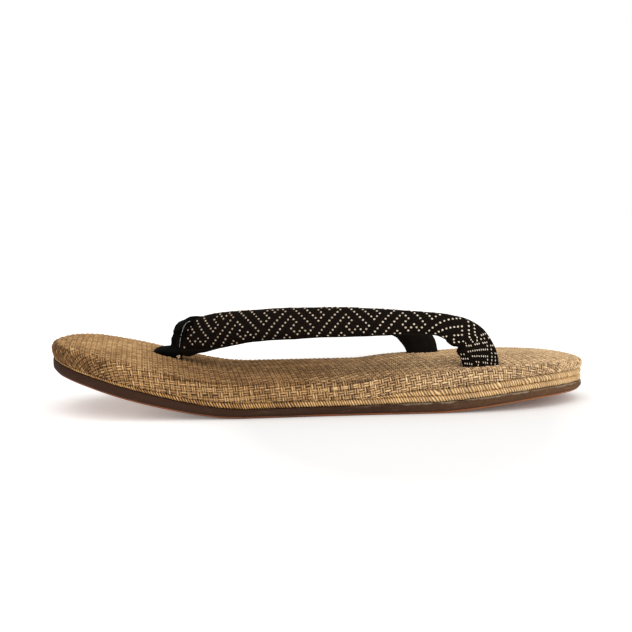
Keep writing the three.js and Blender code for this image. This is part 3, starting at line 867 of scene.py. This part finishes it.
def weave_threads(name, along_x):
    """All threads of one direction. Pairs pass over and under pairs, and each thread has its own
    width, wander, slubs and tone."""
    half_u, half_v = (REACH_ALONG, REACH_ACROSS) if along_x else (REACH_ACROSS, REACH_ALONG)
    lanes = int(half_v / PITCH)
    # seven samples over each pair of floats
    spacing = PITCH * 4 / 7
    samples = np.arange(-int(half_u / spacing), int(half_u / spacing) + 1)
    all_points, all_faces, all_uv, all_tone, start = [], [], [], [], 0
    for lane in range(-lanes, lanes):
        pair = lane // 2
        s = samples * spacing
        wander = 0.13 * np.sin(s * rng.uniform(0.05, 0.16) + rng.uniform(0, 6.3))
        wander = wander + rng.uniform(-0.1, 0.1)
        # the two threads of a pair lie closer together
        middle = (lane + 0.5) * PITCH + (0.07 if lane % 2 == 0 else -0.07) + wander
        slub = np.convolve(rng.normal(0, 1, len(s) + 24), np.hanning(17) / 5.2, "same")[12:-12]
        slow = np.convolve(rng.normal(0, 1, len(s) + 120), np.hanning(81) / 14, "same")[60:-60]
        half = PITCH * (0.47 + 0.055 * slub + rng.uniform(-0.02, 0.03))
        own = rng.normal(0, 0.07)
        # +1 where this thread is on top
        wave = np.sin(math.pi * (s / PITCH) / 2)
        up = np.clip(1.7 * wave * (1 if pair % 2 == 0 else -1), -1, 1) * (1 if along_x else -1)
        # each float over a pair has its own tone
        floats = np.floor((s / PITCH) / 2).astype(int)
        patchy = rng.normal(0, 0.065, floats.max() - floats.min() + 1)[floats - floats.min()]
        u, v = (s, middle) if along_x else (middle, s)
        u, v = turned(*np.broadcast_arrays(u, v))
        points, below = on_cover(u.astype(float), v.astype(float))
        normal = cover_normal(u.astype(float), v.astype(float))
        shown = (below < TUCK) & ~in_hole(points)
        side_u, side_v = turned(*((0.0, 1.0) if along_x else (1.0, 0.0)))
        edges = []
        for sign in (-1, 1):
            uu, vv = u + side_u * half * sign, v + side_v * half * sign
            base, _ = on_cover(uu, vv)
            edges.append(base + cover_normal(uu, vv) * (-0.38 + 0.2 * up)[:, None])
        crown = points + normal * (0.04 + 0.33 * up + 0.03 * slub)[:, None]
        heelness = smooth_step(-20, 70, points[:, 0])
        # painted shade: floats on top are lighter and the parts that pass under are darker; the
        # other terms are each thread's and each float's own tone, its slubs and slow changes
        varied = own + patchy + 0.16 * up + 0.07 * slub + 0.09 * slow
        tone = 0.585 + varied * (0.75 + 0.85 * heelness)
        # painted shade: down the wall the cloth is darker, most of all at the toe; the top at the
        # toe is a little darker too, and down the wall towards the heel the cloth is lighter
        wall = smooth_step(-9.0, -6.5, below)
        toe = smooth_step(-70, -128, points[:, 0])
        tone = tone - wall * (0.02 + 0.3 * toe) - 0.06 * toe * (1 - wall)
        tone = tone + 0.09 * wall * smooth_step(10, 60, points[:, 0])
        # the middle of the top is darker: wear where the foot has been, and painted shade from the
        # straps
        worn = smooth_step(-100, -52, points[:, 0]) * smooth_step(85, 20, points[:, 0])
        tone = tone - 0.22 * (1 - wall) * worn
        runs = np.flatnonzero(np.diff(np.concatenate([[0], shown.astype(int), [0]])))
        for a, b in zip(runs[::2], runs[1::2]):
            if b - a < 3:
                continue
            n = b - a
            ring = np.stack([edges[0][a:b], crown[a:b], edges[1][a:b]], 1).reshape(-1, 3)
            faces = grid_faces(n, 3, start=start).tolist()
            if not along_x:
                faces = [f[::-1] for f in faces]
            last = start + 3 * n - 1
            ends = [[start + 2, start + 1, start], [last - 2, last - 1, last]]
            faces += ends if along_x else [e[::-1] for e in ends]
            all_points.append(ring)
            all_faces += faces
            place = np.repeat(s[a:b], 3) + lane * 3.7
            all_uv.append(np.column_stack([place, np.tile([0.0, 0.6, 1.2], n) + lane * 1.3]))
            # painted shade: the thread's sunk edges are darker than its crown, the more so towards
            # the heel
            shaded_edge_tone = tone[a:b] - 0.26 - 0.3 * heelness[a:b]
            all_tone.append(np.stack([shaded_edge_tone, tone[a:b] + 0.03, shaded_edge_tone], 1).ravel())
            start += 3 * n
    points, uv, tone = [np.concatenate(part) for part in (all_points, all_uv, all_tone)]
    make_piece(name, points, all_faces, [JUTE], uv, tone)


weave_threads("cover_warp_threads", True)
weave_threads("cover_weft_threads", False)


# ---------------------------------------------------------------- the straps
class Strap:
    """The surface of one padded strap, lofted from its table. side is -1 for the outer one."""

    STEPS, AROUND = 210, 72

    def __init__(self, table, side):
        self.side = side
        rows = np.column_stack([np.arange(len(table)), table])
        last = len(table) - 1

        def at(t):
            c = [column(rows, k, t) for k in range(1, 8)]
            top = np.stack([c[0], side * c[1], c[2]], 1)
            low = np.stack([c[3], side * c[4], c[5]], 1)
            return top, low, c[6]

        # even steps along the middle
        t = np.linspace(0, last, 2000)
        top, low, _ = at(t)
        middle = (top + low) / 2
        run = np.concatenate([[0], np.cumsum(np.linalg.norm(np.diff(middle, axis=0), axis=1))])
        t = np.interp(np.linspace(0, run[-1], self.STEPS), run, t)
        top, low, thick = at(t)
        ahead, behind = at(np.minimum(last, t + 0.3)), at(np.maximum(0, t - 0.3))
        along = (ahead[0] + ahead[1] - behind[0] - behind[1]) / 2
        self.along = along / np.linalg.norm(along, axis=1)[:, None]
        wide = top - low
        self.half = np.linalg.norm(wide, axis=1) / 2
        self.wide = wide / (2 * self.half)[:, None]
        out = np.cross(self.along, self.wide)
        self.out = out / np.linalg.norm(out, axis=1)[:, None]
        self.middle = (top + low) / 2
        self.thick = thick / 2
        self.run = np.linspace(0, run[-1], self.STEPS)
        self.faceward = 1 if side < 0 else -1  # the outer face's side of out
        self.surface = self.build()

    def build(self):
        turn = 2 * math.pi * np.arange(self.AROUND) / self.AROUND
        # a little closer where the section turns
        turn = turn - 0.22 * np.sin(2 * turn)
        c = np.sign(np.cos(turn)) * np.abs(np.cos(turn)) ** (2 / STRAP_POWER)
        s = np.sign(np.sin(turn)) * np.abs(np.sin(turn)) ** (2 / STRAP_POWER)
        grid = (
            self.middle[:, None]
            + self.wide[:, None] * (self.half[:, None] * c)[..., None]
            + self.out[:, None] * (self.faceward * self.thick[:, None] * s)[..., None]
        )
        # turn 0 is the top edge, the quarter turn is the outer face, the half turn the low edge
        self.turn = turn
        normal = (
            self.wide[:, None] * (c / self.half[:, None])[..., None]
            + self.out[:, None] * (self.faceward * s / self.thick[:, None])[..., None]
        )
        normal /= np.linalg.norm(normal, axis=-1)[..., None]
        self.normal = normal
        degrees = np.degrees(turn)
        run = self.run[:, None]
        lumps = wobble(grid.reshape(-1, 3), 0.055, self.side).reshape(grid.shape[:2]) * 0.30
        lumps += wobble(grid.reshape(-1, 3), 0.16, self.side + 4).reshape(grid.shape[:2]) * 0.14
        depth = lumps - 0.12
        # the two seams between the patterned cloth and the lining
        low_seam, top_seam = self.seams()
        for seam in (low_seam, top_seam):
            away = (degrees[None] - seam[:, None] + 180) % 360 - 180
            depth = depth - 0.34 * hump(away, 5.0) + 0.10 * hump(away, 16.0)
        # creases that fan out from the inner corner of the rear bend
        bend = BEND_RUN[self.side]
        lowness = smooth_step(60, 150, degrees)[None] * smooth_step(320, 210, degrees)[None]
        strength = 1.0 if self.side < 0 else 0.15
        folds = ((-9, 18, 0.3, 1.2), (0, 0, 1.7, 1.3), (6, -14, 0.35, 1.1), (13, -22, 0.25, 1.1))
        for shift, aim, size, width in folds:
            line = run - (bend + shift) - aim * (1 - degrees[None] / 180) * 0.35
            depth = depth - strength * size * hump(line, width) * lowness
        # the cloth bunches up before the bend, and hangs low behind the front joint
        depth = depth + strength * 0.9 * hump(run - bend + 5.5, 4.5) * lowness
        depth = depth + strength * 0.3 * hump(run - bend - 4.0, 2.6) * lowness
        depth = depth + 3.0 * hump(run - 3.5, 6.5) * lowness
        # gathers above the footbed
        near_end = smooth_step(self.run[-1] - 24, self.run[-1] - 10, run)
        depth = depth + 0.16 * near_end * np.sin(np.radians(degrees[None]) * 11 + run * 0.22)
        return grid + normal * depth[..., None]

    def seams(self):
        """The angle of the lower and the upper seam at each step."""
        front = smooth_step(34, 4, self.run)
        rear = smooth_step(self.run[-1] - 62, self.run[-1] - 40, self.run)
        low = 172 - 34 * front
        top = np.full(len(self.run), -52.0)
        if self.side > 0:
            top += 40 * rear
        return low, top

    def outer_run(self):
        """Length round the section from the lower seam, over the outer face, to the upper one."""
        low_seam, top_seam = self.seams()
        fine = np.linspace(0, 1, 61)
        angles = low_seam[:, None] + (top_seam - low_seam)[:, None] * fine
        points = np.array([self.at_angle(n, angles[n]) for n in range(self.STEPS)])
        run = np.cumsum(np.linalg.norm(np.diff(points, axis=1), axis=2), axis=1)
        return angles, np.concatenate([np.zeros((self.STEPS, 1)), run], 1)

    def at_angle(self, n, angle):
        """Points of the section at some angles, in degrees, from the built surface."""
        return self.between(self.surface[n], angle)

    def normal_at(self, n, angle):
        made = self.between(self.normal[n], angle)
        return made / np.linalg.norm(made, axis=-1)[..., None]

    def between(self, ring, angle):
        """Values held at the section's own angles, read off at others."""
        degrees = np.degrees(self.turn)
        ring = np.concatenate([ring, ring[:1]])
        marks = np.concatenate([degrees, [360 + degrees[0]]])
        wrapped = np.mod(angle, 360)
        return np.stack([np.interp(wrapped, marks, ring[:, k]) for k in range(3)], -1)

    def make(self, name):
        steps, around = self.STEPS, self.AROUND
        points = self.surface.reshape(-1, 3)
        ring_run = np.cumsum(
            np.linalg.norm(self.surface - np.roll(self.surface, 1, axis=1), axis=2), axis=1
        )
        uv = np.stack([np.repeat(self.run[:, None], around, 1), ring_run], -1).reshape(-1, 2)
        degrees = np.degrees(self.turn)
        middle_turn = (degrees + np.roll(degrees, -1)) / 2
        middle_turn[-1] = (degrees[-1] + 360) / 2
        low_seam, top_seam = self.seams()
        past_top = middle_turn[None] > 360 + top_seam[:-1, None]
        cloth = (middle_turn[None] < low_seam[:-1, None]) | past_top
        slots = np.where(cloth, 0, 1).ravel().tolist()
        faces = grid_faces(steps, around).tolist() + end_faces(steps, around)
        if self.faceward > 0:
            faces = [f[::-1] for f in faces]
        slots += [1, 1]
        piece = make_piece(name, points, faces, [STRAP_CLOTH, LINING], uv, None, slots)
        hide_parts("straps")

    def inside(self, p, room=0.2):
        """Whether points lie inside this strap."""
        away = np.linalg.norm(p[:, None] - self.middle[None], axis=2)
        n = away.argmin(1)
        rel = p - self.middle[n]
        c = np.abs(np.einsum("ij,ij->i", rel, self.wide[n])) / (self.half[n] + room)
        s = np.abs(np.einsum("ij,ij->i", rel, self.out[n])) / (self.thick[n] + room)
        return c**STRAP_POWER + s**STRAP_POWER < 1


BEND_RUN = {-1: 147.5, 1: 122.0}  # where along the middle the rear bend's corner is
outer_strap = Strap(OUTER_STRAP, -1)
inner_strap = Strap(INNER_STRAP, 1)
outer_strap.make("strap_outer_side")
inner_strap.make("strap_inner_side")

# The woven figure, an angular fret charted from the photo, on a lattice turned by 45
# degrees. Its pitch and its start were set from where its peaks lie in the photo. A start, then
# runs of diagonal steps. It repeats every 20 steps along the strap and every 20 up its face.
REPEAT = 20
LATTICE, LATTICE_UP = 1.308, 1.47
FRET_START, FRET_LOW = -3.55, -0.4
FRET = [
    ((2, 1), "NE7 SE2 SW2 SE2 NE2 SE2 NE2 NW9"),
    ((12, 13), "SE7 NE2 NW2 NE2 SE2 NE2 SE2 SW9"),
    ((6, 1), "NE1 SE1"),
    ((9, 14), "NE4"),
    ((13, 14), "NE4"),
    ((17, 14), "NE4"),
    ((21, 14), "NE4"),
    ((25, 14), "NE4"),
]
# at the rear bend the cloth lags behind the strap's own turn, is gathered across its width, and is
# packed closer along it
LEG_TURN, LEG_GATHER, LEG_PACK = math.radians(24), 0.42, 0.3
STEP = {"NE": (1, 1), "SE": (1, -1), "SW": (-1, -1), "NW": (-1, 1)}
STITCH_LONG, STITCH_WIDE, STITCH_RISE, STITCH_SUNK = 0.53, 0.48, 0.36, 0.08
FOOTBED_TOP = 21  # no stitch goes lower than this on the rear legs


def fret_dots():
    dots = set()
    for (i, j), moves in FRET:
        dots.add((i % REPEAT, j))
        for move in moves.split():
            di, dj = STEP[move[:2]]
            for _ in range(int(move[2:])):
                i, j = i + di, j + dj
                dots.add((i % REPEAT, j))
    return sorted(dots)


def in_hood(p):
    """Whether points lie under the hood, or under the tongue on top of the joint."""
    edge = np.interp(p[:, 2], PIPING_LINE[:, 0], PIPING_LINE[:, 1]) + 1.3
    tongue = (
        (np.abs(p[:, 1]) < TONGUE_HALF + 0.6)
        & (p[:, 0] < TONGUE_BACK + 1.0)
        & (p[:, 2] > TONGUE_BOTTOM)
    )
    return (p[:, 0] < edge) | tongue


def stitch_dots(strap, other, name):
    """One raised stitch at each dot of the fret, as one joined mesh."""
    angles, runs = strap.outer_run()
    wanted = fret_dots()
    points, faces, tones, start = [], [], [], 0
    rings, sides = 3, 8
    bend = BEND_RUN[strap.side] - 3
    repeats = [(r, level) for r in range(8) for level in (-2, -1, 0, 1)]
    for repeat, level in repeats:
        for i, j in wanted:
            run = (repeat * REPEAT + i) * LATTICE + FRET_START
            up = (level * REPEAT + j + FRET_LOW) * LATTICE_UP
            lag = LEG_TURN * smooth_step(bend - 12, bend + 8, run)
            past, above = run - bend, up - 8
            past *= 1 - LEG_PACK * smooth_step(-8, 10, past)
            run = bend + past * math.cos(lag) - above * math.sin(lag)
            gather = 1 - LEG_GATHER * smooth_step(bend - 6, bend + 8, run)
            up = 8 + (past * math.sin(lag) + above * math.cos(lag)) * gather
            if up < 0.5 or run < 1 or run > strap.run[-1] - 1:
                continue
            place = run / strap.run[-1] * (strap.STEPS - 1)
            n = min(int(place), strap.STEPS - 2)
            part = place - n
            if up > runs[n, -1] - 0.9:
                continue
            angle = [np.interp(up, runs[m], angles[m]) for m in (n, n + 1)]
            ends = [strap.at_angle(m, np.array([a]))[0] for m, a in zip((n, n + 1), angle)]
            centre = ends[0] * (1 - part) + ends[1] * part
            normal = strap.normal_at(n, np.array([angle[0]]))[0]
            along = strap.along[n] - normal * strap.along[n].dot(normal)
            along /= np.linalg.norm(along)
            across = np.cross(normal, along)
            test = (centre + normal * 0.2)[None]
            if in_hood(test)[0] or other.inside(test)[0] or centre[2] < FOOTBED_TOP:
                continue
            long = STITCH_LONG * (1 + rng.uniform(-0.1, 0.1))
            wide = STITCH_WIDE * (1 + rng.uniform(-0.1, 0.1)) * gather
            tilt = rng.uniform(-0.25, 0.25)
            ring_points = []
            for ring in range(rings):
                size = math.cos(ring / rings * math.pi / 2 * 0.98)
                rise = STITCH_RISE * math.sin(ring / rings * math.pi / 2) - STITCH_SUNK
                for k in range(sides):
                    a = 2 * math.pi * k / sides
                    ca = math.copysign(abs(math.cos(a)) ** 0.8, math.cos(a)) * long * size
                    sa = math.copysign(abs(math.sin(a)) ** 0.8, math.sin(a)) * wide * size
                    ring_points.append(
                        centre
                        + along * (ca * math.cos(tilt) - sa * math.sin(tilt))
                        + across * (ca * math.sin(tilt) + sa * math.cos(tilt))
                        + normal * rise
                    )
            ring_points.append(centre + normal * (STITCH_RISE - STITCH_SUNK))
            points += ring_points
            faces += grid_faces(rings, sides, start=start).tolist()
            last = start + (rings - 1) * sides
            top = start + rings * sides
            faces += [[last + k, last + (k + 1) % sides, top] for k in range(sides)]
            faces.append(list(range(start, start + sides))[::-1])
            # painted shade: the stitches darken towards the front, and each is darker round its
            # base and lighter at its tip as a painted highlight; each also has a random tone of its
            # own
            own = 0.68 + rng.uniform(-0.2, 0.12) - 0.46 * smooth_step(80, -20, centre[0])
            tones += [own - 0.25] * sides + [own] * (rings - 1) * sides + [own + 0.1]
            start += rings * sides + 1
    make_piece(name, np.array(points), faces, [STITCH], None, tones)


stitch_dots(outer_strap, inner_strap, "strap_outer_stitches")
stitch_dots(inner_strap, outer_strap, "strap_inner_stitches")


# ---------------------------------------------------------------- the front thong
THONG_VOXEL = 0.45
HOOD_MIDDLE = (-60.0, 0.0, 35.5)
POST_AXIS = -66  # the post's own x in the CAD solid
POST_SHIFT = 2.5  # how far it stands nearer the toe here


def thong_cloth():
    """The hood, the post and the foot: the CAD solid remeshed, rounded and creased."""
    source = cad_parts["front_thong"]
    made = add_object("thong_source", source.data.copy())
    remesh = made.modifiers.new("remesh", "REMESH")
    remesh.mode = "VOXEL"
    remesh.voxel_size = THONG_VOXEL * MM
    relax = made.modifiers.new("relax", "SMOOTH")
    relax.iterations = 14
    relax.factor = 0.5
    graph = bpy.context.evaluated_depsgraph_get()
    mesh = bpy.data.meshes.new_from_object(made.evaluated_get(graph))
    bpy.data.objects.remove(made)
    mesh.name = "thong_cloth"
    count = len(mesh.vertices)
    points = np.zeros(count * 3)
    normals = np.zeros(count * 3)
    mesh.vertices.foreach_get("co", points)
    mesh.vertices.foreach_get("normal", normals)
    points = points.reshape(-1, 3) / MM
    normals = normals.reshape(-1, 3)
    # creases run from the foot of the post up over the hood
    around = np.arctan2(points[:, 1], points[:, 0] - HOOD_MIDDLE[0])
    height = points[:, 2]
    crease = np.sin(around * 9 + wobble(points, 0.12, 7) * 2.2 + height * 0.05)
    crease = -np.abs(crease) ** 3 * smooth_step(22, 30, height) * smooth_step(44, 36, height)
    soft = wobble(points, 0.22, 3) * 0.12 + wobble(points, 0.6, 5) * 0.04
    points = points + normals * (0.14 * crease + soft)[:, None]
    # the hood thins out towards its rear edge, so that it lies on the straps with no step
    edge = np.interp(height, PIPING_LINE[:, 0], PIPING_LINE[:, 1]) + 0.6
    in_tongue = smooth_step(TONGUE_HALF + 1.5, TONGUE_HALF - 1.5, np.abs(points[:, 1]))
    on_top = smooth_step(36, 41, height) * in_tongue
    ahead = edge + (TONGUE_BACK - edge) * on_top - points[:, 0]
    outward = np.einsum("ij,ij->i", points - HOOD_MIDDLE, normals) > 0
    thin = (2.1 - 0.7 * on_top) * smooth_step(8, 0.5, ahead) * outward * smooth_step(26, 31, height)
    rearward = smooth_step(0.3, 0.8, normals[:, 0])
    points = points - normals * (thin * (1 - rearward * on_top))[:, None]
    points[:, 2] -= 2.3 * on_top * smooth_step(15, 0.5, ahead)
    # the hood's front is fullest low down, and the post below it is slim
    full = hump(height - 29, 5.5) * smooth_step(-64, -69, points[:, 0])
    points[:, 0] -= 1.5 * full
    low = smooth_step(28.5, 23.5, height)
    points[:, 1] *= 1 - 0.5 * low
    behind = points[:, 0] - POST_AXIS
    points[:, 0] += low * behind * np.where(behind > 0, -0.85, 0.1)
    points[:, 0] -= POST_SHIFT * low * smooth_step(-73, POST_AXIS, points[:, 0])
    mesh.vertices.foreach_set("co", (points * MM).ravel())
    layer = mesh.uv_layers.new(name="Weave")
    corners = np.zeros(len(mesh.loops), np.int64)
    mesh.loops.foreach_get("vertex_index", corners)
    uv = np.stack([points[:, 0] * 0.6 + points[:, 2], points[:, 1]], 1)
    layer.data.foreach_set("uv", uv[corners].ravel())
    mesh.polygons.foreach_set("use_smooth", [True] * len(mesh.polygons))
    mesh.materials.clear()
    mesh.materials.append(HOOD_CLOTH)
    mesh.update()
    piece = add_object("thong_cloth", mesh)
    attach(piece, "root")
    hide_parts("front_thong")
    return piece


thong = thong_cloth()


def thread(name, path, radius, material):
    """A thin thread along a path in millimetres, closed at both ends."""
    count, sides = len(path), 8
    ahead = np.gradient(path, axis=0)
    ahead /= np.linalg.norm(ahead, axis=1)[:, None]
    first = np.cross(ahead, (0, 1, 0.2))
    first /= np.linalg.norm(first, axis=1)[:, None]
    second = np.cross(ahead, first)
    turn = 2 * math.pi * np.arange(sides) / sides
    thin = np.sin(np.linspace(0.12, math.pi - 0.12, count)) ** 0.25
    size = radius * thin[:, None] * np.ones(sides)
    points = (
        path[:, None]
        + first[:, None] * (size * np.cos(turn))[..., None]
        + second[:, None] * (size * np.sin(turn))[..., None]
    )
    faces = grid_faces(count, sides).tolist() + end_faces(count, sides)
    tone = 0.7 + 0.25 * np.sin(np.arange(count) * 1.1)[:, None] * np.ones(sides)
    piece = make_piece(name, points.reshape(-1, 3), faces, [material], None, tone.ravel())


def thong_piping():
    """A thin thread along the rear edge of the hood, on each side."""
    tree = BVHTree.FromObject(thong, bpy.context.evaluated_depsgraph_get())
    for side, name in ((-1, "thong_piping_outer"), (1, "thong_piping_inner")):
        path = []
        rows = np.arange(len(PIPING_LINE))
        for t in np.linspace(0, len(rows) - 1, 44):
            z, x = [np.interp(t, rows, PIPING_LINE[:, k]) for k in (0, 1)]
            hit = tree.ray_cast(Vector((x, side * 60, z)) * MM, Vector((0, -side, 0)))[0]
            if hit is not None:
                path.append(np.array(hit) / MM + (0, side * 0.12, 0))
        smooth = np.array(path)
        for _ in range(6):
            smooth[1:-1] = (smooth[:-2] + 2 * smooth[1:-1] + smooth[2:]) / 4
        thread(name, smooth, 0.17, PIPING)


thong_piping()


def knot():
    """The small knot of thread beside the foot of the thong."""
    t = np.linspace(0, 2 * math.pi, 60)
    path = np.column_stack(
        [
            -68.5 + 0.52 * np.sin(t) + 0.25 * np.sin(2 * t),
            -6.6 + 0.45 * np.cos(3 * t) * 0.7,
            24.8 + 0.42 * np.cos(t) + 0.2 * np.sin(3 * t),
        ]
    )
    thread("thong_knot", path, 0.36, KNOT)


knot()


# ---------------------------------------------------------------- the floor and the light
def add_floor():
    """A pale round floor, in rings that get wider outwards."""
    count = 96
    rings = [0.0, 0.4, 1.0, 2.5, 6.0]  # metres
    turn = 2 * math.pi * np.arange(count) / count
    points = [(0, 0, 0)]
    faces = []
    for r in rings[1:]:
        points += [(r * math.cos(a), r * math.sin(a), 0) for a in turn]
    faces += [(0, 1 + k, 1 + (k + 1) % count) for k in range(count)]
    faces += grid_faces(len(rings) - 1, count, start=1).tolist()
    mesh = bpy.data.meshes.new("floor")
    mesh.from_pydata(points, [], faces)
    m = Nodes("pale_floor", Roughness=0.7, Specular_IOR_Level=0.1)
    # painted light: the floor glows warm, faintly near the sandal's middle and fully past its ends
    # and out to where it runs into the white behind it, which lightens the shadow under the toe
    links = {"Vector": m.where(), "Scale": (1, 0.4, 1), "Location": (-0.035, 0, 0)}
    middle = m.add("ShaderNodeMapping", links).outputs[0]
    away = m.add("ShaderNodeVectorMath", {0: middle}, operation="LENGTH").outputs["Value"]
    glow = m.spread(away, 0.07, 0.125, 0.06, 0.36)
    m.tree.links.new(glow, m.shader.inputs["Emission Strength"])
    m.shader.inputs["Emission Color"].default_value = (1, 0.95, 0.9, 1)
    paper = m.noise(m.where(), 8, 2)
    m.colour(m.ramp(paper, [(0.0, (0.86, 0.86, 0.86)), (1.0, (0.9, 0.9, 0.9))]))
    mesh.materials.append(m.material)
    add_object("floor", mesh)


def add_lamp(name, kind, place, aim, energy, **settings):
    data = bpy.data.lights.new(name, kind)
    data.energy = energy
    for key, value in settings.items():
        setattr(data, key, value)
    lamp = add_object(name, data)
    lamp.location = place
    lamp.rotation_mode = "QUATERNION"
    lamp.rotation_quaternion = (Vector(aim) - Vector(place)).to_track_quat("-Z", "Y")


def add_world():
    """A white room: full white where it is seen, and softer as a light."""
    world = bpy.data.worlds.new("studio")
    world.use_nodes = True
    tree = world.node_tree
    back = tree.nodes["Background"]
    back.inputs["Color"].default_value = (1, 1, 1, 1)
    seen = tree.nodes.new("ShaderNodeLightPath").outputs["Is Camera Ray"]
    strength = tree.nodes.new("ShaderNodeMapRange")
    strength.inputs["To Min"].default_value = 0.62
    strength.inputs["To Max"].default_value = 1.0
    tree.links.new(seen, strength.inputs["Value"])
    tree.links.new(strength.outputs[0], back.inputs["Strength"])
    bpy.context.scene.world = world


add_floor()
soft_sun = {"angle": math.radians(75), "color": (1.0, 0.99, 0.97)}
add_lamp("key", "SUN", (0.1, -0.55, 1.5), (0, 0, 0), 1.15, **soft_sun)
wide_panel = {"shape": "RECTANGLE", "size": 1.4, "size_y": 0.8}
add_lamp("fill", "AREA", (0.7, -1.55, 0.5), (0, 0, 0.03), 12, **wide_panel)
add_world()
bpy.context.scene.view_settings.view_transform = "Standard"
